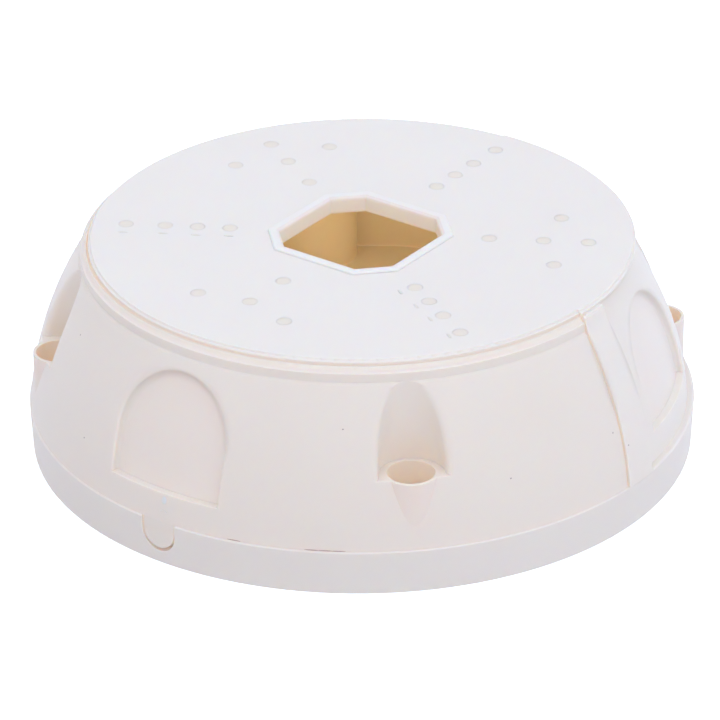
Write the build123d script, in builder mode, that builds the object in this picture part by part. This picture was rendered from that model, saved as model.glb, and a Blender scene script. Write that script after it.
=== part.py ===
"""Round camera junction box: base tray, wrap-round shell, lid with its side panel, and four cover screws.

Z is up and the back of the base lies on z = 0. Seen from above, one screw well faces each of -Y, +X, +Y
and -X. The lid carries the +X well on its side panel, and the shell carries the other three.
"""
import os
from math import atan2, cos, degrees, hypot, radians, sin, sqrt

from build123d import *

# Driving dimensions, in millimetres and degrees
box_radius = 75.0          # lip of the base, the widest place
box_height = 49.2          # back of the base to the lid's flat
skin = 2.8                 # wall of the shell and the side panel
fit = 0.3                  # clearance between moulded pieces

# Base tray
deck_z = 10.4              # top of the deck, on which shell and lid stand
deck_thickness = 2.5
skirt_thickness = 2.4
skirt_draft = 0.5          # how much narrower the skirt is at its foot
lip_chamfer = 0.35
cable_hole_d = 32.0
collar_wall = 2.0
collar_rise = 2.0
rib_thickness = 1.8
rib_count = 8
rib_foot_z = 1.2
fixing_pitch = 65.0        # slots for the wall screws, on a square
fixing_slot_w = 5.2
fixing_slot_l = 10.0
fixing_pad_d = 14.0

# Wall that the shell and the side panel share, a shallow arc in section
wall_inset = 0.3           # wall's foot behind the lip
shoulder_inset = 12.0      # from the lip in to the wall's shoulder
shoulder_drop = 5.0        # from the lid's flat down to the shoulder
wall_bulge = 2.17          # rise of the arc over its chord

# Rim bead and the shelf that carries the lid
lid_thickness = 2.5
groove_gap = 0.45
bead_setback = 0.55        # bead's face behind the shoulder
bead_width = 1.3
bead_top_drop = 1.2        # bead's crown below the lid's flat
bead_round = 1.25
bead_foot = 0.5            # how far the bead's foot runs over the wall's shoulder
shelf_width = 3.0
shelf_thickness = 1.3

# Screw wells
well_inset = 6.9           # axis of each screw, from the lip
ledge_z = 25.7
panel_ledge_drop = 3.0     # the side panel's ledge is lower than the shell's three
counterbore_d = 10.4
seat_thickness = 4.0       # floor of the counterbore, over the deck
boss_wall = 0.7            # round the counterbore, where it stands out through the wall
channel_offset = 1.3       # channel's axis outside the screw's
channel_foot_r = 7.35
channel_head_r = 6.85
channel_round = 1.3
channel_wall = 2.4

# Cover screws
screw_d = 3.0              # core of the thread
screw_head_d = 7.0
screw_head_h = 2.6
screw_length = 12.0
screw_tip = 2.0
screw_point = 1.0          # flat on the end of the tip
screw_hole_d = 4.4
post_wall = 2.2
screw_head_bevel = 0.9
pilot_slack = 0.05         # round the screw's core in the post
post_foot_z = 0.6
post_floor = 0.9
cross_width = 1.0
cross_span = 3.8
cross_depth = 1.3

# Knock-out arches
arch_width = 28.4
arch_foot_z = 16.9
arch_head_drop = 2.5       # from the shoulder down to the arch's head
arch_depth = 1.7
arch_round = 0.5           # outer edge
arch_cove = 0.8            # inner corner
shell_arch_angles = (-135.0, 135.0)
panel_arch_angles = (-25.0, 25.0)

# Locating tongues of the shell in the skirt's notches
notch_width = 8.8
notch_foot_z = 2.9
tongue_gap = 0.8           # open crescent under the tongue

# Side panel of the lid
seam_angle = 48.0          # each side of +X
strip_angle = 7.0          # width of the lap strip
strip_proud = 0.5          # strip's face over the shell's wall
panel_inset = 1.3          # panel's field behind the shell's wall
strip_thickness = 1.5
flange_thickness = 1.3     # shell's flange behind the strip
flange_angle = 4.4
lid_edge_round = 0.6
rim_setback = 1.8          # lid's edge over the panel, behind the shoulder
brow_hollow = 0.35         # sag of the hollow under that edge
head_setback = 0.6         # strip's head behind the shoulder
head_round = 0.4
slot_angle = 1.3           # how far the groove runs on into a strip's head
slot_depth = 1.0

# Lid's opening and pilot holes
opening_flats = 35.4       # across the short sides, along X and Y
opening_short_side = 8.0
rim_width = 2.2
rim_rise = 0.45
opening_bevel = 0.5
pilot_d = 3.2
pilot_depth = 6.0
pilot_boss_d = 6.4
pilot_boss_floor = 1.6
row_angles = (45.0, 165.0, 285.0)
row_edge = 8.0             # outermost hole from the lid's edge
row_steps = (0.0, 8.8, 16.1, 23.4)
cluster_angles = (105.0, 225.0, 345.0)
cluster_edge = 9.9
cluster_steps = (0.0, 10.0, 22.1)
cluster_side_step = 5.3
cluster_side_angle = 14.9
lid_rib_thickness = 1.4
lid_rib_depth = 4.0
lid_rib_from = 23.0
lid_rib_edge = 5.7         # ribs' outer ends from the lid's edge
hook_angles = (115.0, 155.0, 205.0, 245.0)
hook_width = 12.0
hook_thickness = 1.6
hook_reach = 1.6

# Worked out from the above
wall_foot = box_radius - wall_inset
shoulder_radius = box_radius - shoulder_inset
shoulder_z = box_height - shoulder_drop
shelf_z = box_height - lid_thickness
bead_outer = shoulder_radius - bead_setback
bead_inner = bead_outer - bead_width
bead_top = box_height - bead_top_drop
head_foot = shoulder_z - bead_foot
head_radius = shoulder_radius - head_setback
lid_radius = bead_inner - groove_gap
plate_overlap = lid_radius - lid_thickness
rim_radius = shoulder_radius - rim_setback
well_radius = box_radius - well_inset
channel_axis = well_radius + channel_offset
arch_head_z = shoulder_z - arch_head_drop
row_radii = [lid_radius - row_edge - step for step in row_steps]
cluster_radii = [lid_radius - cluster_edge - step for step in cluster_steps]
pilot_places = [(radius, angle) for angle in row_angles for radius in row_radii]
pilot_places += [(radius, angle) for angle in cluster_angles for radius in cluster_radii]
pilot_places.remove((cluster_radii[0], cluster_angles[1]))  # this cluster has no outer hole
for side_angle in (-cluster_side_angle, cluster_side_angle):
    pilot_places += [(cluster_radii[0] - cluster_side_step, angle + side_angle) for angle in cluster_angles]
pilot_points = [(r * cos(radians(a)), r * sin(radians(a))) for r, a in pilot_places]
shell_angles = (90.0, 180.0, 270.0)
seat_z = deck_z + seat_thickness
deck_middle = deck_z - deck_thickness / 2
shelf_inner = bead_inner - shelf_width
hook_radius = sqrt((shelf_inner - fit) ** 2 - (hook_width / 2) ** 2)
toe_z = shelf_z - shelf_thickness - fit
post_radius = screw_d / 2 + post_wall
boss_radius = counterbore_d / 2 + boss_wall
seam_gap = degrees(fit / 2 / box_radius)
strip_inner_angle = seam_angle - strip_angle
flange_set = strip_thickness - strip_proud + fit

on_foot = (Align.CENTER, Align.CENTER, Align.MIN)

# Circle of the wall's section: its centre in the radial plane and its radius
chord_r = shoulder_radius - wall_foot
chord_z = shoulder_z - deck_z
chord = sqrt(chord_r**2 + chord_z**2)
wall_arc_radius = (chord**2 / 4 + wall_bulge**2) / (2 * wall_bulge)
arc_to_chord = wall_arc_radius - wall_bulge
wall_arc_r = (wall_foot + shoulder_radius) / 2 - arc_to_chord * chord_z / chord
wall_arc_z = (deck_z + shoulder_z) / 2 + arc_to_chord * chord_r / chord


def wall_r(z, outwards=0.0):
    """Radius of the wall's face at a height, moved outwards from the shell's outer face."""
    return wall_arc_r + sqrt((wall_arc_radius + outwards) ** 2 - (z - wall_arc_z) ** 2)


def wall_line(outwards, z_from, z_to):
    """Arc of the wall's section between two heights."""
    z_mid = (z_from + z_to) / 2
    return ThreePointArc(
        (wall_r(z_from, outwards), z_from),
        (wall_r(z_mid, outwards), z_mid),
        (wall_r(z_to, outwards), z_to),
    )


def wall_band(outer, inner, z_from, z_to):
    """Outline of a stretch of wall between two faces, for make_face."""
    face_out = wall_line(outer, z_from, z_to)
    face_in = wall_line(inner, z_from, z_to)
    Line(face_out @ 1, face_in @ 1)
    Line(face_in @ 0, face_out @ 0)


def radial_plane(angle):
    """Upright plane through the box's axis: X runs outwards at the angle, Y runs up."""
    a = radians(angle)
    return Plane(origin=(0, 0, 0), x_dir=(cos(a), sin(a), 0), z_dir=(sin(a), -cos(a), 0))


def facing_plane(angle, radius):
    """Upright plane across the radius: X runs round the box, Y runs up, Z points outwards."""
    a = radians(angle)
    return Plane(
        origin=(radius * cos(a), radius * sin(a), 0), x_dir=(-sin(a), cos(a), 0), z_dir=(cos(a), sin(a), 0)
    )


def angle_of(point):
    """Angle of a point round the box's axis."""
    return degrees(atan2(point.Y, point.X))


def outer_wall_face(faces):
    """The wall's outer face: of the turned faces, the one that reaches furthest out."""
    turned = faces.filter_by(GeomType.REVOLUTION)
    return turned.sort_by(lambda f: max(hypot(v.X, v.Y) for v in f.vertices()))[-1]


def channel_edges(face):
    """Edges of a wall face where the channels of the wells run out through it."""
    edges = face.edges().filter_by(GeomType.BSPLINE)
    return edges.filter_by(lambda e: ledge_z + 1 < e.center().Z < shoulder_z - 1)


def arch_edges(face, angles):
    """Edges of a wall face round its arches, apart from their flat feet."""
    reach = arch_width / shoulder_radius
    return face.edges().filter_by(GeomType.BSPLINE).filter_by(
        lambda e: e.center().Z > arch_foot_z + arch_round
        and any(abs(angle_of(e.center()) - angle) < degrees(reach) / 2 for angle in angles)
    )


def polar(radius, angle, z=0.0):
    """Point at a radius and angle from the box's axis."""
    a = radians(angle)
    return (radius * cos(a), radius * sin(a), z)


def arch_outline():
    """Flat-footed arch of a knock-out."""
    half = arch_width / 2
    spring_z = arch_head_z - half
    with BuildSketch() as outline:
        with BuildLine():
            Polyline((-half, spring_z), (-half, arch_foot_z), (half, arch_foot_z), (half, spring_z))
            ThreePointArc((half, spring_z), (0, arch_head_z), (-half, spring_z))
        make_face()
    return outline.sketch


def notch_outline(width, foot_z, top_z):
    """U shape with a round foot."""
    half = width / 2
    with BuildSketch() as outline:
        with BuildLine():
            Polyline((-half, foot_z + half), (-half, top_z), (half, top_z), (half, foot_z + half))
            ThreePointArc((half, foot_z + half), (0, foot_z), (-half, foot_z + half))
        make_face()
    return outline.sketch


def opening_outline(grow=0.0):
    """Square turned on its corners, with the corners cut, grown evenly outwards."""
    flat = opening_flats / 2 + grow
    half = opening_short_side / 2 + grow * (sqrt(2) - 1)
    points = [(flat, -half), (flat, half), (half, flat), (-half, flat)]
    points += [(-x, -y) for x, y in points]
    Polygon(*points, align=None)


def channel_cut(foot_z, inset):
    """Channel of a screw well at +X, open outwards above its ledge, set in as far as the wall's face is."""
    axis = channel_axis - inset
    with BuildPart() as cutter:
        with Locations((axis, 0, foot_z)):
            Cone(channel_foot_r, channel_head_r, box_height - foot_z, align=on_foot)
        with BuildSketch(Plane.XY.offset(foot_z)):
            with Locations((axis + box_radius / 2, 0)):
                Rectangle(box_radius, 2 * channel_foot_r)
        with BuildSketch(Plane.XY.offset(box_height)):
            with Locations((axis + box_radius / 2, 0)):
                Rectangle(box_radius, 2 * channel_head_r)
        loft()
    return cutter.part


def boss(top_z):
    """Screw boss of a well at +X, up to its ledge."""
    with BuildPart() as body:
        with Locations((well_radius, 0, deck_z)):
            Cylinder(boss_radius, top_z - deck_z, align=on_foot)
    return body.part


with BuildPart() as bore_cut:
    with Locations((well_radius, 0, seat_z)):
        Cylinder(counterbore_d / 2, box_height - seat_z, align=on_foot)
    with Locations((well_radius, 0, deck_z)):
        Cylinder(screw_hole_d / 2, seat_thickness, align=on_foot)


def well_body(inset):
    """Channel wall of a well at +X, kept behind the wall's outer face."""
    with BuildPart() as body:
        with Locations((channel_axis - inset, 0, deck_z)):
            Cone(
                channel_foot_r + channel_wall,
                channel_head_r + channel_wall,
                shoulder_z - deck_z,
                align=on_foot,
            )
        with BuildSketch(radial_plane(0)):
            with BuildLine():
                face = wall_line(-inset - skin / 2, deck_z, shoulder_z)
                Polyline(face @ 1, (0, shoulder_z), (0, deck_z), face @ 0)
            make_face()
        revolve(axis=Axis.Z, mode=Mode.INTERSECT)
    return body.part


def arch_cut_into(outwards):
    """Cutter of a knock-out arch at +X, down to its depth behind a wall face."""
    with BuildPart() as cutter:
        with BuildSketch(facing_plane(0, shoulder_radius / 2)):
            add(arch_outline())
        extrude(amount=box_radius)
        with BuildSketch(radial_plane(0)):
            with BuildLine():
                face = wall_line(outwards - arch_depth, 0, box_height)
                Polyline(face @ 1, (0, box_height), (0, 0), face @ 0)
            make_face()
        revolve(axis=Axis.Z, mode=Mode.SUBTRACT)
        floor = cutter.faces().filter_by(GeomType.REVOLUTION)[0]
        fillet(floor.edges().filter_by(lambda e: e.center().Z > arch_foot_z + arch_cove), radius=arch_cove)
    return cutter.part


with BuildPart() as tongue:
    with BuildSketch(facing_plane(0, wall_foot - skin)):
        add(notch_outline(notch_width - 2 * fit, notch_foot_z + tongue_gap, deck_z))
    extrude(amount=2 * skin)
    with BuildSketch(Plane.XY):
        Circle(wall_foot)
        Circle(wall_foot - skin + fit, mode=Mode.SUBTRACT)
    extrude(amount=deck_z, mode=Mode.INTERSECT)

# Shell: the wall from one seam round to the other, with its bead, shelf, wells, arches and tongues
shell_start = seam_angle + seam_gap
shell_sweep = 360 - 2 * shell_start
shell_well = well_body(0)
shell_channel_cut = channel_cut(ledge_z, 0)
shell_boss = boss(ledge_z)
shell_arch_cut = arch_cut_into(0.0)

with BuildPart() as shell:
    with BuildSketch(radial_plane(shell_start)):
        with BuildLine():
            wall_band(0.0, -skin, deck_z, shoulder_z)
        make_face()
    revolve(axis=Axis.Z, revolution_arc=shell_sweep)
    for angle in shell_angles:
        add(shell_well.rotate(Axis.Z, angle))
    for angle in shell_angles:
        add(shell_channel_cut.rotate(Axis.Z, angle), mode=Mode.SUBTRACT)
    fillet(channel_edges(outer_wall_face(shell.faces())), radius=channel_round)

    # Bores down to the screw seats, in bosses whose brows stand out through the wall
    for angle in shell_angles:
        add(shell_boss.rotate(Axis.Z, angle))
    for angle in shell_angles:
        add(bore_cut.part.rotate(Axis.Z, angle), mode=Mode.SUBTRACT)

    # Knock-out arches, thin behind, with soft edges and a flat foot
    for angle in shell_arch_angles:
        add(shell_arch_cut.rotate(Axis.Z, angle), mode=Mode.SUBTRACT)
    fillet(arch_edges(outer_wall_face(shell.faces()), shell_arch_angles), radius=arch_round)

    # Bead round the lid, with the shelf that carries it
    with BuildSketch(radial_plane(shell_start)):
        with BuildLine():
            outer = Polyline(
                (wall_r(head_foot), head_foot),
                (wall_r(shoulder_z), shoulder_z),
                (bead_outer, shoulder_z + bead_foot),
                (bead_outer, bead_top - bead_round),
            )
            crown = RadiusArc(outer @ 1, (bead_outer - bead_round, bead_top), bead_round)
            Polyline(
                crown @ 1,
                (bead_inner, bead_top),
                (bead_inner, shelf_z),
                (shelf_inner, shelf_z),
                (shelf_inner, shelf_z - shelf_thickness),
                (wall_r(head_foot, -skin), shelf_z - shelf_thickness),
                (wall_r(head_foot, -skin), head_foot),
                (wall_r(head_foot), head_foot),
            )
        make_face()
    revolve(axis=Axis.Z, revolution_arc=shell_sweep)
    for angle in shell_angles:
        add(shell_channel_cut.rotate(Axis.Z, angle), mode=Mode.SUBTRACT)

    # Thin flanges behind the lid's lap strips, at both seams
    for start in (shell_start - flange_angle, -shell_start):
        with BuildSketch(radial_plane(start)):
            with BuildLine():
                wall_band(-flange_set, -flange_set - flange_thickness, deck_z, head_foot)
            make_face()
        revolve(axis=Axis.Z, revolution_arc=flange_angle)

    # Tongues that locate the shell in the skirt's notches
    for angle in shell_arch_angles:
        add(tongue.part.rotate(Axis.Z, angle))
    shell.part.label = "shell"

# Lid: the flat plate, and in one piece with it the side panel across +X
panel_well = well_body(panel_inset)
panel_ledge_z = ledge_z - panel_ledge_drop
panel_channel_cut = channel_cut(panel_ledge_z, panel_inset)
panel_arch_cut = arch_cut_into(-panel_inset)
field_angle = seam_angle - flange_angle - seam_gap
strip_end = seam_angle - seam_gap

with BuildPart() as lid:
    with BuildSketch(radial_plane(-field_angle)):
        with BuildLine():
            wall_band(-panel_inset, -panel_inset - skin, deck_z, shoulder_z)
        make_face()
    revolve(axis=Axis.Z, revolution_arc=2 * field_angle)
    add(panel_well)
    add(panel_channel_cut, mode=Mode.SUBTRACT)
    fillet(channel_edges(outer_wall_face(lid.faces())), radius=channel_round)
    add(boss(panel_ledge_z))
    add(bore_cut.part, mode=Mode.SUBTRACT)
    for angle in panel_arch_angles:
        add(panel_arch_cut.rotate(Axis.Z, angle), mode=Mode.SUBTRACT)
    fillet(arch_edges(outer_wall_face(lid.faces()), panel_arch_angles), radius=arch_round)

    # Lap strips over the shell's flanges, each on a full-depth root at the field's end
    for start, sweep, depth in (
        (-strip_end, strip_end - strip_inner_angle, strip_thickness),
        (strip_inner_angle, strip_end - strip_inner_angle, strip_thickness),
        (-field_angle, field_angle - strip_inner_angle, strip_proud + panel_inset + skin),
        (strip_inner_angle, field_angle - strip_inner_angle, strip_proud + panel_inset + skin),
    ):
        with BuildSketch(radial_plane(start)):
            with BuildLine():
                wall_band(strip_proud, strip_proud - depth, deck_z, shoulder_z)
            make_face()
        revolve(axis=Axis.Z, revolution_arc=sweep)

    # Plate, with a full edge inside the bead and a thinner, wider one over the panel
    with Locations((0, 0, shelf_z)):
        Cylinder(plate_overlap, lid_thickness, align=on_foot)
    for start, reach, foot_z, sweep in (
        (strip_end, lid_radius, shelf_z, 360 - 2 * strip_end),
        (-strip_end, rim_radius, bead_top, 2 * strip_end),
    ):
        with BuildSketch(radial_plane(start)):
            with BuildLine():
                inside = plate_overlap - lid_edge_round
                edge = Polyline((inside, foot_z), (reach, foot_z), (reach, box_height - lid_edge_round))
                round_over = RadiusArc(edge @ 1, (reach - lid_edge_round, box_height), lid_edge_round)
                Polyline(round_over @ 1, (inside, box_height), (inside, foot_z))
            make_face()
        revolve(axis=Axis.Z, revolution_arc=sweep)

    # Head of the panel's field, which sweeps out to the plate's edge
    with BuildSketch(radial_plane(-strip_end)):
        with BuildLine():
            face = wall_line(-panel_inset, head_foot, shelf_z)
            sweep_out = SagittaArc(face @ 1, (rim_radius, bead_top), brow_hollow)
            Polyline(sweep_out @ 1, (plate_overlap, bead_top), (plate_overlap, head_foot), face @ 0)
        make_face()
    revolve(axis=Axis.Z, revolution_arc=2 * strip_end)
    add(panel_channel_cut, mode=Mode.SUBTRACT)

    # Heads of the two strips, which bend upright beside the plate's edge
    for start in (-strip_end, strip_inner_angle):
        with BuildSketch(radial_plane(start)):
            with BuildLine():
                face = wall_line(strip_proud, head_foot, shoulder_z)
                upright = TangentArc(face @ 1, (head_radius, bead_top - head_round), tangent=face % 1)
                crown = RadiusArc(upright @ 1, (head_radius - head_round, bead_top), head_round)
                Polyline(crown @ 1, (plate_overlap, bead_top), (plate_overlap, head_foot), face @ 0)
            make_face()
        revolve(axis=Axis.Z, revolution_arc=strip_end - strip_inner_angle)

    # Short run of the groove into each strip's head
    for start in (-strip_end, strip_end - slot_angle):
        with BuildSketch(radial_plane(start)):
            with Locations((rim_radius, bead_top)):
                Rectangle(groove_gap, slot_depth, align=(Align.MIN, Align.MAX))
        revolve(axis=Axis.Z, revolution_arc=slot_angle, mode=Mode.SUBTRACT)

    # Pilot bosses under the plate, tied by thin ribs along the six arms
    with BuildSketch(Plane.XY.offset(box_height - pilot_depth - pilot_boss_floor)):
        with Locations(*pilot_points):
            Circle(pilot_boss_d / 2)
    extrude(amount=pilot_depth + pilot_boss_floor - lid_thickness / 2)

    with BuildSketch(Plane.XY.offset(shelf_z - lid_rib_depth)):
        lid_rib_to = lid_radius - lid_rib_edge
        for angle in row_angles + cluster_angles:
            with Locations(Location(polar((lid_rib_from + lid_rib_to) / 2, angle), angle)):
                Rectangle(lid_rib_to - lid_rib_from, lid_rib_thickness)
    extrude(amount=lid_rib_depth + lid_thickness / 2)

    # Hooks whose toes reach under the shell's shelf, away from the panel
    for angle in hook_angles:
        with BuildSketch(radial_plane(angle)):
            with BuildLine():
                Polyline(
                    (hook_radius - hook_thickness, shelf_z),
                    (hook_radius, shelf_z),
                    (hook_radius, toe_z),
                    (hook_radius + hook_reach, toe_z),
                    (hook_radius + hook_reach, toe_z - hook_thickness),
                    (hook_radius - hook_thickness, toe_z - hook_thickness),
                    close=True,
                )
            make_face()
        extrude(amount=hook_width / 2, both=True)

    # Eight-sided cable opening with a raised, bevelled rim
    with BuildSketch(Plane.XY.offset(box_height)):
        opening_outline(rim_width)
    extrude(amount=rim_rise)
    with BuildSketch(Plane.XY.offset(shelf_z)):
        opening_outline()
    extrude(amount=lid_thickness + rim_rise, mode=Mode.SUBTRACT)
    bevel_edges = lid.faces().sort_by(Axis.Z)[-1].inner_wires()[0].edges()
    chamfer(bevel_edges, length=opening_bevel)

    # Blind pilot holes for the camera's screws
    with BuildSketch(Plane.XY.offset(box_height)):
        with Locations(*pilot_points):
            Circle(pilot_d / 2)
    extrude(amount=-pilot_depth, mode=Mode.SUBTRACT)
    lid.part.label = "lid"

# Base: skirt and deck turned in one, with posts, pads and ribs underneath
with BuildPart() as base:
    with BuildSketch(radial_plane(0)):
        with BuildLine():
            collar_r = cable_hole_d / 2
            Polyline(
                (collar_r, deck_z - deck_thickness),
                (collar_r, deck_z + collar_rise),
                (collar_r + collar_wall, deck_z + collar_rise),
                (collar_r + collar_wall, deck_z),
                (box_radius - lip_chamfer, deck_z),
                (box_radius, deck_z - lip_chamfer),
                (box_radius - skirt_draft, 0),
                (box_radius - skirt_draft - skirt_thickness, 0),
                (box_radius - skirt_thickness, deck_z - deck_thickness),
                close=True,
            )
        make_face()
    revolve(axis=Axis.Z)

    # Radial ribs, screw posts and wall pads, all hanging from the deck
    with BuildSketch(Plane.XY.offset(rib_foot_z)):
        rib_from = collar_r + collar_wall / 2
        rib_to = box_radius - skirt_thickness
        Circle(collar_r + collar_wall)
        with PolarLocations((rib_from + rib_to) / 2, rib_count):
            Rectangle(rib_to - rib_from, rib_thickness)
        Circle(collar_r, mode=Mode.SUBTRACT)
    extrude(amount=deck_middle - rib_foot_z)
    with BuildSketch():
        with GridLocations(fixing_pitch, fixing_pitch, 2, 2):
            Circle(fixing_pad_d / 2)
    extrude(amount=deck_middle)
    with BuildSketch(Plane.XY.offset(post_foot_z)):
        with PolarLocations(well_radius, 4):
            Circle(post_radius)
    extrude(amount=deck_middle - post_foot_z)

    # Holes: cover screws from the deck, wall screws right through, slotted along X
    with Locations(Plane.XY.offset(deck_z)):
        with PolarLocations(well_radius, 4):
            Hole(screw_d / 2 + pilot_slack, depth=deck_z - post_foot_z - post_floor)
    with BuildSketch():
        with GridLocations(fixing_pitch, fixing_pitch, 2, 2):
            SlotOverall(fixing_slot_l, fixing_slot_w)
    extrude(amount=deck_z, mode=Mode.SUBTRACT)

    # Notches for the shell's tongues
    for angle in shell_arch_angles:
        with BuildSketch(facing_plane(angle, wall_foot - skin)):
            add(notch_outline(notch_width, notch_foot_z, deck_z))
        extrude(amount=2 * skin, mode=Mode.SUBTRACT)
    base.part.label = "base"

# Cover screws, seated in the wells
with BuildPart() as cover_screws:
    with PolarLocations(well_radius, 4):
        with Locations((0, 0, seat_z)):
            Cylinder(screw_head_d / 2, screw_head_h, align=on_foot)
        with Locations((0, 0, seat_z - screw_length + screw_tip)):
            Cylinder(screw_d / 2, screw_length - screw_tip, align=on_foot)
        with Locations((0, 0, seat_z - screw_length)):
            Cone(screw_point / 2, screw_d / 2, screw_tip, align=on_foot)
    heads = cover_screws.edges().filter_by(GeomType.CIRCLE).group_by(Axis.Z)[-1]
    chamfer(heads, length=screw_head_bevel)
    with BuildSketch(Plane.XY.offset(seat_z + screw_head_h)):
        with PolarLocations(well_radius, 4):
            Rectangle(cross_span, cross_width)
            Rectangle(cross_width, cross_span)
    extrude(amount=-cross_depth, mode=Mode.SUBTRACT)
    cover_screws.part.label = "cover_screws"

os.makedirs("parts", exist_ok=True)
for piece in (base, shell, lid, cover_screws):
    print(piece.part.label, piece.part.is_valid, len(piece.solids()), round(piece.part.volume))
    export_step(piece.part, f"parts/{piece.part.label}.step")
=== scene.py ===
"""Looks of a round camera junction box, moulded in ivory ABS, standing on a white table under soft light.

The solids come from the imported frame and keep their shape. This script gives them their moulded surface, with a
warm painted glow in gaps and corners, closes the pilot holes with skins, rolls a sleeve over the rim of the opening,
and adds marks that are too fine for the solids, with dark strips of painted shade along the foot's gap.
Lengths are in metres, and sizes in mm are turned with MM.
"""
from math import cos, radians, sin, tan

import bpy
from mathutils import Matrix, Vector
from mathutils.bvhtree import BVHTree


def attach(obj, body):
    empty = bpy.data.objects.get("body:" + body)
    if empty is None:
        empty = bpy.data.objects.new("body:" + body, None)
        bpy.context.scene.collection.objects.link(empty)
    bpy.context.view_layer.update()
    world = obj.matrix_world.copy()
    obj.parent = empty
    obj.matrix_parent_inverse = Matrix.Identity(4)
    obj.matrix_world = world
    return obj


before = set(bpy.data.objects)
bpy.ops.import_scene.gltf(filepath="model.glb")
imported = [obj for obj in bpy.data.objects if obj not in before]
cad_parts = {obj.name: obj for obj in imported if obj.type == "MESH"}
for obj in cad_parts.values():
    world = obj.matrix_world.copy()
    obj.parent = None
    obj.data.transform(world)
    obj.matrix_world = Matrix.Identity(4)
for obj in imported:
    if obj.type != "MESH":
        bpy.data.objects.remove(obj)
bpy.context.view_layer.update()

MM = 0.001

# Photograph's view: how the box is turned under the camera, and where the camera stands
BOX_TURN = 8.7             # degrees that the photograph's box is turned to the left
CAMERA_ELEVATION = 27.77   # degrees above the table
CAMERA_DISTANCE = 1157.67 * MM
CAMERA_TARGET = (-0.371 * MM, 17.32 * MM)  # across the view, and up
CAMERA_ROLL = -0.0086      # radians
LENS_MM = 256.8            # focal length
SENSOR_MM = 36.0
CAMERA_REACH = 10          # metres

# Light: a white tent that is brighter and cooler above, and warm lamps inside for what shines through the walls
TENT_ABOVE = ("DCE9FF", 1.565)  # colour and strength
TENT_BELOW = ("FFB349", 0.165)
TENT_LEAN = (0.18, -0.37)  # how far the bright side leans to the camera's right, and towards the camera
GLOW_AMBER = "F8E6AE"
GLOW_LAMPS = 8
GLOW_POWER = 0.0033        # W for each lamp in the cable room
GLOW_RING = 40.0           # mm from the axis
GLOW_HEIGHT = 27.0         # mm above the table
GLOW_SIZE = 9.0            # mm, radius of a lamp
WELL_AMBER = "FFEBCF"
WELL_LAMPS = 4
WELL_POWER = 0.00022       # W for the lamp in each screw well
WELL_RADIUS = 68.1         # mm from the axis
WELL_HEIGHT = 21.0         # mm
WELL_SIZE = 2.5            # mm, radius of a lamp

# Finish
LID_IVORY = "F4E7D8"
MOUTH_IVORY = "F7EBDE"
WARM_PAINTED_IVORY = "F4E2CC"      # warmer tint: painted light through the thin skins from below, and painted shade along the ticks
SHELL_IVORY = "F3E4D3"
BASE_IVORY = "F2E6D8"
SPECK_BROWN = "CDB5A6"
# Dark brown of the painted shade in the foot's gap
GAP_SHADE_BROWN = "C39E90"
# Paler ivory of the raised cavity mark and chevron, a painted highlight on them
MARK_HIGHLIGHT_WHITE = "F7EADE"
ZINC = "B9B6AE"
TABLE_WHITE = "FFFFFF"
TABLE_ROUGHNESS = 0.9
TABLE_GLOW = 0.55          # strength of the light that comes up through the table
TABLE_SIZE = 12            # metres
ZINC_GLOSS = (0.28, 0.42)  # roughness, from the brightest to the dullest spots of the plating
ZINC_MOTTLE = 0.8          # mm
SPECK_AND_SHADE_MOTTLE = 0.3          # mm
SPECK_AND_SHADE_ROUGHNESS = 0.85
SPECK_AND_SHADE_SHINE = 0.2
SPECK_AND_SHADE_UNEVENNESS = 0.35     # how far the mottle darkens it
ABS_IOR = 1.53
ABS_ROUGHNESS = 0.5
ABS_GLOW = (0.6, 0.45, 0.3)  # mm that red, green and blue light goes into the plastic
# Painted glow: an emission that lightens gaps and tight corners, in place of light that the plastic would carry there
CREVICE_REACH = 1.5        # mm, how near two faces are where the painted glow goes on the plastic between them
CREVICE_OPENNESS = (0.05, 0.4)  # share of the view that is open, from where the painted glow is strongest to where it stops
CREVICE_PAINTED_GLOW = 0.19        # strength of the painted glow where it is strongest
CREVICE_PAINTED_GLOW_COLOUR = "FFF0E6"
CREVICE_SAMPLES = 6
WALL_SOFTNESS = 2.3        # mm, how round the heads of the knock-outs and channels look
EDGE_SOFTNESS = 0.2        # mm, for the sharper edges of the rim, the ledges and the foot
MOUTH_SOFTNESS = 0.7       # mm, for the opening's lip
SOFT_MIDDLE = 35.5         # mm, height about which the soft edges lie
SOFT_REACH = 5.5           # mm, up and down from there
SOFT_BLEND = 3.0           # mm, over which soft edges turn into sharper ones
EDGE_SAMPLES = 8
SPARK_GRAIN = 0.5          # mm, grain of the spark-eroded mould, drawn coarser than real so that it shows
SPARK_DEPTH = 0.02         # mm
SPARK_STRENGTH = 0.2
SINK_SIZE = 16.0           # mm, shallow waves where the plastic shrank
SINK_DEPTH = 0.1           # mm
SINK_STRENGTH = 0.5
CLOUD_SIZE = 28.0          # mm, slow drift of the colour
CLOUD_SPAN = (0.3, 0.7)    # between which nearly all of the noise lies
CLOUD_SHADE = 0.985        # share of the colour in the darkest drift

# Pilot holes, in mm from the axis and in degrees: each is closed by a thin skin, which a screw pierces
PILOT_ROWS = [(radius, angle) for angle in (45.0, 165.0, 285.0) for radius in (52.7, 43.9, 36.6, 29.3)]
PILOT_CLUSTERS = [(radius, angle) for angle in (105.0, 225.0, 345.0) for radius in (50.8, 40.8, 28.7)
                  if (radius, angle) != (50.8, 225.0)]
PILOT_SIDES = [(45.5, angle + side) for angle in (105.0, 225.0, 345.0) for side in (-14.9, 14.9)]
LID_FLAT = 49.2            # mm, height of the lid's flat
SKIN_D = 4.1               # mm across the lip, whose edge runs out just under the lid's flat
SKIN_THICKNESS = 0.6       # mm
SKIN_PROFILE = [(0, -1.0), (0.37, -1.0), (0.37, -0.1), (0.5, -0.1), (0.43, 0.0), (0.3, 0.04),
                (0, 0.06)]  # radius in lip widths, height in thicknesses

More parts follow.
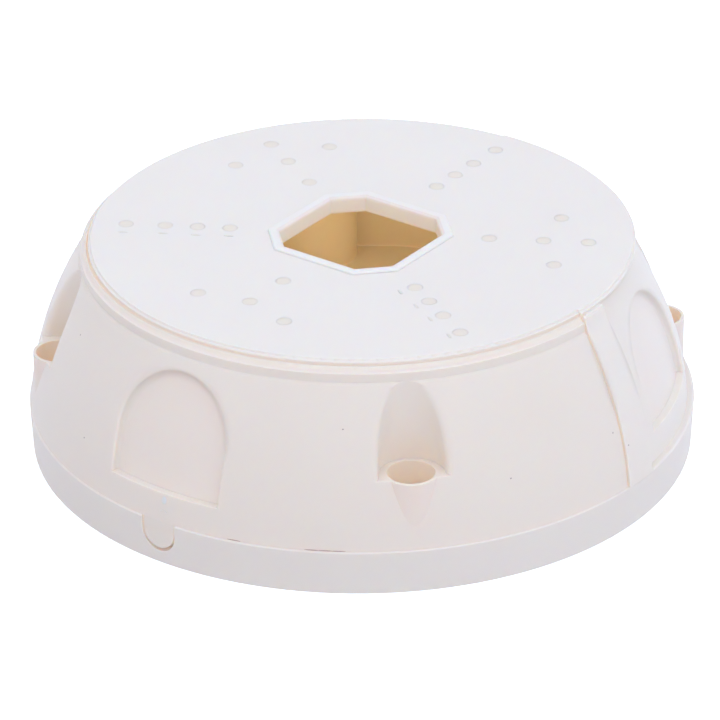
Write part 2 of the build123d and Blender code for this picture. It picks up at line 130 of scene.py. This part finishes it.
# Sleeve of the cable opening, which rolls over its rim
MOUTH_FLATS = 35.4         # mm across the short sides
MOUTH_SHORT_SIDE = 8.0     # mm
SLEEVE_TOP = 49.67         # mm, just over the crown of the lid's own rim
SLEEVE_FOOT = 45.6         # mm
SLEEVE_SINK = 0.3          # mm, how far the lip's outside goes on below the lid's flat
SLEEVE_WALL = 1.5          # mm
SLEEVE_ROUND = 0.4         # mm, at its foot
ROUND_SAG = 0.3            # how far the middle of a rounding lies from its corner's sides, in radii
SLEEVE_STAND = 0.05        # mm, how far it stands in from the lid's own faces
LIP_ROUND = 0.9            # mm, where it rolls over the rim
LIP_WIDTH = 2.22           # mm, flat top of the rim from the opening
LIP_FALL = 0.25            # mm, width of the rim's outer slope
LIP_SHOULDER = 0.1         # mm, bevel at the head of that slope
LIP_STEPS = 6              # flats that the roll is made of

# Half round from foot to top, which is turned into a small dome for the marks below
DOME_PROFILE = [(0.5 * sin(radians(turn)), -0.5 * cos(radians(turn))) for turn in range(0, 181, 18)]

# Small raised ticks beside the pilot rows, in mm: where each one is, and the turn of its row
FRONT_TICKS = [(4.0, -29.9, -78.0), (6.3, -37.1, -78.0), (8.3, -43.6, -78.0), (11.0, -52.1, -78.0)]
LEFT_TICKS = [(-52.1, 9.6, -18.0), (-43.4, 7.5, -18.0), (-36.3, 5.4, -18.0), (-29.1, 3.7, -18.0)]
TICK = (2.3, 0.7, 0.24)    # mm long, wide and thick, half of it above the surface

# Marks on the wall: height in mm and angle in degrees, then the turn of each. Sizes are mm long, wide and thick
CAVITY_MARK = [(15.4, -134.0, 90.0)]
CAVITY_SIZE = (1.8, 1.3, 0.3)
CHEVRON = [(12.9, -134.4, 35.0), (12.9, -133.5, -35.0)]
CHEVRON_SIZE = (1.0, 0.28, 0.2)
SEAM_ANGLE = -48.0         # degrees, where the shell ends and the lid's side panel begins
WALL_CLEAR = 90            # mm from the axis, a place outside the wall
WALL_SPECKS = [(36.2, -102.2, 0.0), (22.75, -72.8, 20.0), (24.0, -49.9, 60.0), (19.9, -47.0, 0.0),
               (37.7, -166.0, 40.0), (20.25, -154.8, 15.0)]
SPECK = (0.42, 0.3, 0.1)
# Dark strips of painted shade along the gap where the shell's foot meets the base
FOOT_GAP_SHADES = [(10.5, -120.5, 0.0), (10.5, -107.2, 0.0), (10.5, -105.0, 0.0), (10.5, -102.8, 0.0)]
FOOT_GAP_SHADE = (3.2, 0.16, 0.12)

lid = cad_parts["lid"]
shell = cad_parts["shell"]
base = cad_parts["base"]
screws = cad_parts["cover_screws"]


def linear(hex_colour):
    """sRGB hex to linear RGBA."""
    out = []
    for i in (0, 2, 4):
        c = int(hex_colour[i:i + 2], 16) / 255
        out.append(c / 12.92 if c <= 0.04045 else ((c + 0.055) / 1.055) ** 2.4)
    return (*out, 1.0)


def add_node(tree, kind, settings=None, inputs=None):
    """Adds a node, sets its properties, and fills or links its inputs by name or number."""
    node = tree.nodes.new(kind)
    for name, value in (settings or {}).items():
        setattr(node, name, value)
    for key, value in (inputs or {}).items():
        socket = node.inputs[key]
        if isinstance(value, bpy.types.NodeSocket):
            tree.links.new(value, socket)
        else:
            socket.default_value = value
    return node


def new_material(name):
    """Empty node material and its output."""
    material = bpy.data.materials.new(name)
    material.use_nodes = True
    tree = material.node_tree
    tree.nodes.clear()
    output = add_node(tree, "ShaderNodeOutputMaterial")
    return material, tree, output


def moulded_abs(name, ivory, softness=None):
    """Injection-moulded ABS from a spark-eroded mould: satin, with a faint grain and shallow sink waves.

    The heads of the wall's forms have soft, drawn edges, and the rim, the ledges and the foot have crisper ones,
    unless one softness in mm is given for them all. Light goes a little way into the thin ivory plastic, and a warm
    emission in gaps and corners paints the glow that keeps them from turning black.
    """
    material, tree, output = new_material(name)
    place = add_node(tree, "ShaderNodeTexCoord").outputs["Object"]

    # Slow drift between two near shades, as where the melt flowed
    cloud = add_node(tree, "ShaderNodeTexNoise", None,
                     {"Vector": place, "Scale": 1 / (CLOUD_SIZE * MM), "Detail": 2.0, "Roughness": 0.5})
    drift = add_node(tree, "ShaderNodeMapRange", None,
                     {"Value": cloud.outputs["Fac"], "From Min": CLOUD_SPAN[0], "From Max": CLOUD_SPAN[1],
                      "To Min": CLOUD_SHADE, "To Max": 1.0})
    shade = add_node(tree, "ShaderNodeMixRGB", {"blend_type": "MULTIPLY"},
                     {"Fac": 1.0, "Color1": linear(ivory), "Color2": drift.outputs["Result"]})

    # Edges, softer at the heads of the wall's forms
    edge = add_node(tree, "ShaderNodeBevel", {"samples": EDGE_SAMPLES}, {"Radius": (softness or 0.0) * MM})
    if softness is None:
        height = add_node(tree, "ShaderNodeSeparateXYZ", None, {"Vector": place}).outputs["Z"]
        above = add_node(tree, "ShaderNodeMath", {"operation": "SUBTRACT"}, {0: height, 1: SOFT_MIDDLE * MM})
        away = add_node(tree, "ShaderNodeMath", {"operation": "ABSOLUTE"}, {0: above.outputs["Value"]})
        reach = add_node(tree, "ShaderNodeMapRange", None,
                         {"Value": away.outputs["Value"], "From Min": SOFT_REACH * MM,
                          "From Max": (SOFT_REACH + SOFT_BLEND) * MM, "To Min": WALL_SOFTNESS * MM,
                          "To Max": EDGE_SOFTNESS * MM})
        tree.links.new(reach.outputs["Result"], edge.inputs["Radius"])

    # Shallow waves, then the mould's grain
    wave = add_node(tree, "ShaderNodeTexNoise", None,
                    {"Vector": place, "Scale": 1 / (SINK_SIZE * MM), "Detail": 1.0})
    sink = add_node(tree, "ShaderNodeBump", None,
                    {"Height": wave.outputs["Fac"], "Strength": SINK_STRENGTH, "Distance": SINK_DEPTH * MM,
                     "Normal": edge.outputs["Normal"]})
    grain = add_node(tree, "ShaderNodeTexNoise", None,
                     {"Vector": place, "Scale": 1 / (SPARK_GRAIN * MM), "Detail": 1.0})
    skin = add_node(tree, "ShaderNodeBump", None,
                    {"Height": grain.outputs["Fac"], "Strength": SPARK_STRENGTH, "Distance": SPARK_DEPTH * MM,
                     "Normal": sink.outputs["Normal"]})

    # Painted glow: a warm emission round gaps and in tight corners, stronger the more closed in a spot is
    openness = add_node(tree, "ShaderNodeAmbientOcclusion", {"samples": CREVICE_SAMPLES},
                        {"Distance": CREVICE_REACH * MM})
    glow = add_node(tree, "ShaderNodeMapRange", None,
                    {"Value": openness.outputs["AO"], "From Min": CREVICE_OPENNESS[0],
                     "From Max": CREVICE_OPENNESS[1], "To Min": CREVICE_PAINTED_GLOW, "To Max": 0.0})
    plastic = add_node(tree, "ShaderNodeBsdfPrincipled", None,
                       {"Base Color": shade.outputs["Color"], "Normal": skin.outputs["Normal"],
                        "Roughness": ABS_ROUGHNESS, "IOR": ABS_IOR, "Subsurface Weight": 1.0,
                        "Subsurface Radius": ABS_GLOW, "Subsurface Scale": MM,
                        "Emission Color": linear(CREVICE_PAINTED_GLOW_COLOUR), "Emission Strength": glow.outputs["Result"]})
    tree.links.new(plastic.outputs["BSDF"], output.inputs["Surface"])
    return material


def zinc_plate(name):
    """Zinc-plated screw steel: grey metal with a soft shine."""
    material, tree, output = new_material(name)
    place = add_node(tree, "ShaderNodeTexCoord").outputs["Object"]
    mottle = add_node(tree, "ShaderNodeTexNoise", None,
                      {"Vector": place, "Scale": 1 / (ZINC_MOTTLE * MM), "Detail": 2.0})
    gloss = add_node(tree, "ShaderNodeMapRange", None,
                     {"Value": mottle.outputs["Fac"], "To Min": ZINC_GLOSS[0], "To Max": ZINC_GLOSS[1]})
    metal = add_node(tree, "ShaderNodeBsdfPrincipled", None,
                     {"Base Color": linear(ZINC), "Metallic": 1.0, "Roughness": gloss.outputs["Result"]})
    tree.links.new(metal.outputs["BSDF"], output.inputs["Surface"])
    return material


def white_laminate(name):
    """Matt white laminate on a light table, lit through, so that it stays white up to the box."""
    material, tree, output = new_material(name)
    matt = add_node(tree, "ShaderNodeBsdfPrincipled", None,
                    {"Base Color": linear(TABLE_WHITE), "Roughness": TABLE_ROUGHNESS, "Specular IOR Level": 0.0,
                     "Emission Color": linear(TABLE_WHITE), "Emission Strength": TABLE_GLOW})
    tree.links.new(matt.outputs["BSDF"], output.inputs["Surface"])
    return material


def specks_and_painted_shade(name, colour):
    """Specks of burnt resin, and dark strips of painted shade in gaps: matt and dull, without any shine."""
    material, tree, output = new_material(name)
    place = add_node(tree, "ShaderNodeTexCoord").outputs["Object"]
    mottle = add_node(tree, "ShaderNodeTexNoise", None,
                      {"Vector": place, "Scale": 1 / (SPECK_AND_SHADE_MOTTLE * MM), "Detail": 2.0})
    shade = add_node(tree, "ShaderNodeMixRGB", {"blend_type": "MULTIPLY"},
                     {"Fac": SPECK_AND_SHADE_UNEVENNESS, "Color1": linear(colour), "Color2": mottle.outputs["Fac"]})
    matt = add_node(tree, "ShaderNodeBsdfPrincipled", None,
                    {"Base Color": shade.outputs["Color"], "Roughness": SPECK_AND_SHADE_ROUGHNESS,
                     "Specular IOR Level": SPECK_AND_SHADE_SHINE})
    tree.links.new(matt.outputs["BSDF"], output.inputs["Surface"])
    return material


def dress(node, material):
    """Gives a CAD node its finish."""
    node.data.materials.clear()
    node.data.materials.append(material)


def plain_piece(name, mesh):
    """Finished piece of the box, with its place in its mesh."""
    piece = bpy.data.objects.new(name, mesh)
    bpy.context.scene.collection.objects.link(piece)
    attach(piece, "root")
    return piece


def turned_form(name, profile, around=24):
    """Form turned about Z from a profile that starts and ends on the axis, foot first."""
    ring = [(cos(radians(360 * k / around)), sin(radians(360 * k / around))) for k in range(around)]
    corners = [(0, 0, profile[0][1])]
    for radius, z in profile[1:-1]:
        corners += [(radius * x, radius * y, z) for x, y in ring]
    corners.append((0, 0, profile[-1][1]))
    top = len(corners) - 1
    faces = []
    for k in range(around):
        m = (k + 1) % around
        faces.append((0, 1 + m, 1 + k))
        faces.append((top, top - around + k, top - around + m))
        for i in range(len(profile) - 3):
            low, high = 1 + i * around, 1 + (i + 1) * around
            faces.append((low + k, low + m, high + m, high + k))
    mesh = bpy.data.meshes.new(name)
    mesh.from_pydata(corners, [], faces)
    mesh.shade_smooth()
    return bpy.data.objects.new(name, mesh)


def stamping_tree(form, material):
    """Geometry Nodes that set a small form on every seat, to a length, a width and a thickness."""
    tree = bpy.data.node_groups.new("stamp_on_seats", "GeometryNodeTree")
    tree.interface.new_socket("Geometry", in_out="INPUT", socket_type="NodeSocketGeometry")
    for name in ("Length", "Width", "Thickness"):
        tree.interface.new_socket(name, in_out="INPUT", socket_type="NodeSocketFloat")
    tree.interface.new_socket("Geometry", in_out="OUTPUT", socket_type="NodeSocketGeometry")
    given = add_node(tree, "NodeGroupInput")
    shape = add_node(tree, "GeometryNodeObjectInfo", None, {"Object": form})
    size = add_node(tree, "ShaderNodeCombineXYZ", None,
                    {"X": given.outputs["Length"], "Y": given.outputs["Width"], "Z": given.outputs["Thickness"]})
    turn = add_node(tree, "GeometryNodeInputNamedAttribute", {"data_type": "FLOAT_VECTOR"}, {"Name": "turn"})
    rotation = add_node(tree, "FunctionNodeEulerToRotation", None, {"Euler": turn.outputs["Attribute"]})
    stamps = add_node(tree, "GeometryNodeInstanceOnPoints", None,
                      {"Points": given.outputs["Geometry"], "Instance": shape.outputs["Geometry"],
                       "Rotation": rotation.outputs["Rotation"], "Scale": size.outputs["Vector"]})
    real = add_node(tree, "GeometryNodeRealizeInstances", None, {"Geometry": stamps.outputs["Instances"]})
    finish = add_node(tree, "GeometryNodeSetMaterial", None,
                      {"Geometry": real.outputs["Geometry"], "Material": material})
    add_node(tree, "NodeGroupOutput", None, {"Geometry": finish.outputs["Geometry"]})
    return tree


def stamp(name, seats, sizes, material, profile=DOME_PROFILE):
    """Piece made of one small form on every seat. A seat is a place in metres and a turn, and sizes are in mm."""
    points = bpy.data.meshes.new(name + "_seats")
    points.from_pydata([place for place, turn in seats], [], [])
    turns = points.attributes.new("turn", "FLOAT_VECTOR", "POINT")
    for value, (place, turn) in zip(turns.data, seats):
        value.vector = turn
    carrier = bpy.data.objects.new(name + "_seats", points)
    bpy.context.scene.collection.objects.link(carrier)
    form = turned_form(name + "_form", profile)
    modifier = carrier.modifiers.new("stamp", "NODES")
    modifier.node_group = stamping_tree(form, material)
    sockets = {item.name: item.identifier for item in modifier.node_group.interface.items_tree
               if item.in_out == "INPUT"}
    for socket, size in zip(("Length", "Width", "Thickness"), sizes):
        modifier[sockets[socket]] = size * MM
    graph = bpy.context.evaluated_depsgraph_get()
    mesh = bpy.data.meshes.new_from_object(carrier.evaluated_get(graph))
    carrier.modifiers.clear()
    bpy.data.objects.remove(carrier)
    bpy.data.objects.remove(form)
    return plain_piece(name, mesh)


def seat_on_lid(x, y, turn):
    """Seat on the lid's flat, at a place in mm and a turn in degrees."""
    return Vector((x, y, LID_FLAT)) * MM, (0, 0, radians(turn))


def seat_on_wall(surface, height, angle, turn):
    """Seat on a moulding's outside, at a height in mm and an angle in degrees, with its length along the wall."""
    outwards = Vector((cos(radians(angle)), sin(radians(angle)), 0))
    start = outwards * WALL_CLEAR * MM + Vector((0, 0, height * MM))
    place, normal, _, _ = surface.ray_cast(start, -outwards)
    along = Vector((0, 0, 1)).cross(normal).normalized()
    frame_axes = Matrix((along, normal.cross(along), normal)).transposed()
    return place, (frame_axes @ Matrix.Rotation(radians(turn), 3, "Z")).to_euler()


def mouth_sleeve(material):
    """Eight-sided sleeve that lines the cable opening and hangs a little below the lid."""
    # Eight corners of the opening at a height, set out by grow on every side
    def corners(grow, z):
        flat, half = MOUTH_FLATS / 2 + grow, MOUTH_SHORT_SIDE / 2 + grow * tan(radians(22.5))
        ring = [(flat, -half), (flat, half), (half, flat), (-half, flat)]
        return [Vector((x, y, z)) * MM for x, y in ring + [(-x, -y) for x, y in ring]]

    inner, outer, under = -SLEEVE_STAND, SLEEVE_WALL, LID_FLAT - SLEEVE_SINK
    midway = ROUND_SAG * SLEEVE_ROUND
    section = [(inner + SLEEVE_ROUND, SLEEVE_FOOT), (inner + midway, SLEEVE_FOOT + midway),
               (inner, SLEEVE_FOOT + SLEEVE_ROUND)]
    for step in range(LIP_STEPS + 1):
        turn = radians(90 * step / LIP_STEPS)
        section.append((inner + LIP_ROUND * (1 - cos(turn)), SLEEVE_TOP - LIP_ROUND * (1 - sin(turn))))
    section += [(LIP_WIDTH, SLEEVE_TOP), (LIP_WIDTH + LIP_SHOULDER, SLEEVE_TOP - LIP_SHOULDER),
                (LIP_WIDTH + LIP_FALL, LID_FLAT), (LIP_WIDTH + LIP_FALL, under), (outer, under),
                (outer, SLEEVE_FOOT)]
    rings = [corners(grow, z) for grow, z in section]
    count = len(rings[0])
    faces = []
    for i in range(len(rings)):
        j = (i + 1) % len(rings)
        for k in range(count):
            m = (k + 1) % count
            faces.append((i * count + k, j * count + k, j * count + m, i * count + m))
    mesh = bpy.data.meshes.new("mouth_sleeve")
    mesh.from_pydata([corner for ring in rings for corner in ring], [], faces)
    mesh.materials.append(material)
    return plain_piece("mouth_sleeve", mesh)


def place_camera():
    """Camera at the photograph's place, with its tilt and its slight roll."""
    e = radians(CAMERA_ELEVATION)
    back = Vector((0, -cos(e), sin(e)))
    right = Vector((1, 0, 0))
    up = Vector((0, sin(e), cos(e)))
    rolled_right = right * cos(CAMERA_ROLL) + up * sin(CAMERA_ROLL)
    rolled_up = up * cos(CAMERA_ROLL) - right * sin(CAMERA_ROLL)
    spot = Vector((CAMERA_TARGET[0], 0, CAMERA_TARGET[1])) + back * CAMERA_DISTANCE
    turn = Matrix.Rotation(radians(-BOX_TURN), 4, "Z")
    axes = Matrix((rolled_right, rolled_up, back)).transposed().to_4x4()
    camera = bpy.data.cameras.new("camera")
    camera.lens = LENS_MM
    camera.sensor_width = SENSOR_MM
    camera.clip_end = CAMERA_REACH
    holder = bpy.data.objects.new("camera", camera)
    holder.matrix_world = turn @ Matrix.Translation(spot) @ axes
    bpy.context.scene.collection.objects.link(holder)
    bpy.context.scene.camera = holder


def hang_tent():
    """White light tent round the scene, which shades from its cool bright top to its dimmer warm foot."""
    world = bpy.data.worlds.new("white_tent")
    world.use_nodes = True
    tree = world.node_tree
    tree.nodes.clear()
    lean = Matrix.Rotation(radians(-BOX_TURN), 3, "Z") @ Vector((*TENT_LEAN, 1)).normalized()
    way = add_node(tree, "ShaderNodeTexCoord").outputs["Generated"]
    height = add_node(tree, "ShaderNodeVectorMath", {"operation": "DOT_PRODUCT"}, {0: way, 1: lean})
    rise = add_node(tree, "ShaderNodeMapRange", None, {"Value": height.outputs["Value"], "From Min": -1.0})
    above, below = [add_node(tree, "ShaderNodeBackground", None, {"Color": linear(colour), "Strength": strength})
                    for colour, strength in (TENT_ABOVE, TENT_BELOW)]
    blend = add_node(tree, "ShaderNodeMixShader", None,
                     {0: rise.outputs["Result"], 1: below.outputs["Background"], 2: above.outputs["Background"]})
    add_node(tree, "ShaderNodeOutputWorld", None, {"Surface": blend.outputs["Shader"]})
    bpy.context.scene.world = world
    bpy.context.scene.view_settings.view_transform = "Standard"


def amber_lamp(name, radius, angle, height, size, power, colour):
    """Soft lamp that isn't seen itself, for light that comes through the thin walls."""
    lamp = bpy.data.lights.new(name, "POINT")
    lamp.energy = power
    lamp.color = linear(colour)[:3]
    lamp.shadow_soft_size = size * MM
    holder = bpy.data.objects.new(name, lamp)
    holder.location = Vector((radius * cos(radians(angle)), radius * sin(radians(angle)), height)) * MM
    holder.visible_camera = False
    holder.visible_glossy = False
    bpy.context.scene.collection.objects.link(holder)


def glow_inside():
    """Amber lamps in the cable room and one in each screw well, where the thin ivory walls glow."""
    for i in range(GLOW_LAMPS):
        angle = 360 * (i + 0.5) / GLOW_LAMPS
        amber_lamp(f"room_glow_{i}", GLOW_RING, angle, GLOW_HEIGHT, GLOW_SIZE, GLOW_POWER, GLOW_AMBER)
    for i in range(WELL_LAMPS):
        angle = 360 * i / WELL_LAMPS
        amber_lamp(f"well_glow_{i}", WELL_RADIUS, angle, WELL_HEIGHT, WELL_SIZE, WELL_POWER, WELL_AMBER)


def lay_table():
    """Wide white table under the box, which leaves the lighting of the box to the tent."""
    bpy.ops.mesh.primitive_plane_add(size=TABLE_SIZE, location=(0, 0, 0))
    table = bpy.context.object
    table.name = "table"
    table.data.materials.append(white_laminate("white_laminate"))
    table.visible_diffuse = False
    table.visible_shadow = False


lid_abs = moulded_abs("lid_ivory_abs_moulded", LID_IVORY)
shell_abs = moulded_abs("shell_ivory_abs_moulded", SHELL_IVORY)
dress(lid, lid_abs)
dress(shell, shell_abs)
dress(base, moulded_abs("base_ivory_abs_moulded", BASE_IVORY))
dress(screws, zinc_plate("screw_steel_zinc_plated"))

# Skins over the pilots, ticks and sleeve of the lid; the skins and ticks wear a warmer tint of painted light and
# shade
skins = [seat_on_lid(radius * cos(radians(angle)), radius * sin(radians(angle)), 0)
         for radius, angle in PILOT_ROWS + PILOT_CLUSTERS + PILOT_SIDES]
warm_painted_abs = moulded_abs("skin_and_tick_abs_painted_warm", WARM_PAINTED_IVORY, 0.0)
stamp("pilot_skins", skins, (SKIN_D, SKIN_D, SKIN_THICKNESS), warm_painted_abs, SKIN_PROFILE)
stamp("lid_ticks", [seat_on_lid(*tick) for tick in FRONT_TICKS + LEFT_TICKS], TICK, warm_painted_abs)
mouth_sleeve(moulded_abs("mouth_ivory_abs_moulded", MOUTH_IVORY, MOUTH_SOFTNESS))

# Marks and specks of the wall, and strips of painted shade in the foot's gap
graph = bpy.context.evaluated_depsgraph_get()
shell_surface = BVHTree.FromObject(shell, graph)
lid_surface = BVHTree.FromObject(lid, graph)
on_shell = [seat_on_wall(shell_surface, *spot) for spot in WALL_SPECKS if spot[1] < SEAM_ANGLE]
on_panel = [seat_on_wall(lid_surface, *spot) for spot in WALL_SPECKS if spot[1] >= SEAM_ANGLE]
stamp("burnt_specks", on_shell + on_panel, SPECK, specks_and_painted_shade("burnt_resin_specks", SPECK_BROWN))
# The raised mark and chevron are paler than the shell: painted highlight
mark_highlight_white = moulded_abs("pale_ivory_abs_painted_highlight", MARK_HIGHLIGHT_WHITE, 0.0)
stamp("cavity_mark", [seat_on_wall(shell_surface, *spot) for spot in CAVITY_MARK], CAVITY_SIZE, mark_highlight_white)
stamp("chevron_mark", [seat_on_wall(shell_surface, *spot) for spot in CHEVRON], CHEVRON_SIZE, mark_highlight_white)
stamp("foot_gap", [seat_on_wall(shell_surface, *spot) for spot in FOOT_GAP_SHADES], FOOT_GAP_SHADE,
      specks_and_painted_shade("painted_gap_shade", GAP_SHADE_BROWN))

place_camera()
hang_tent()
glow_inside()
lay_table()
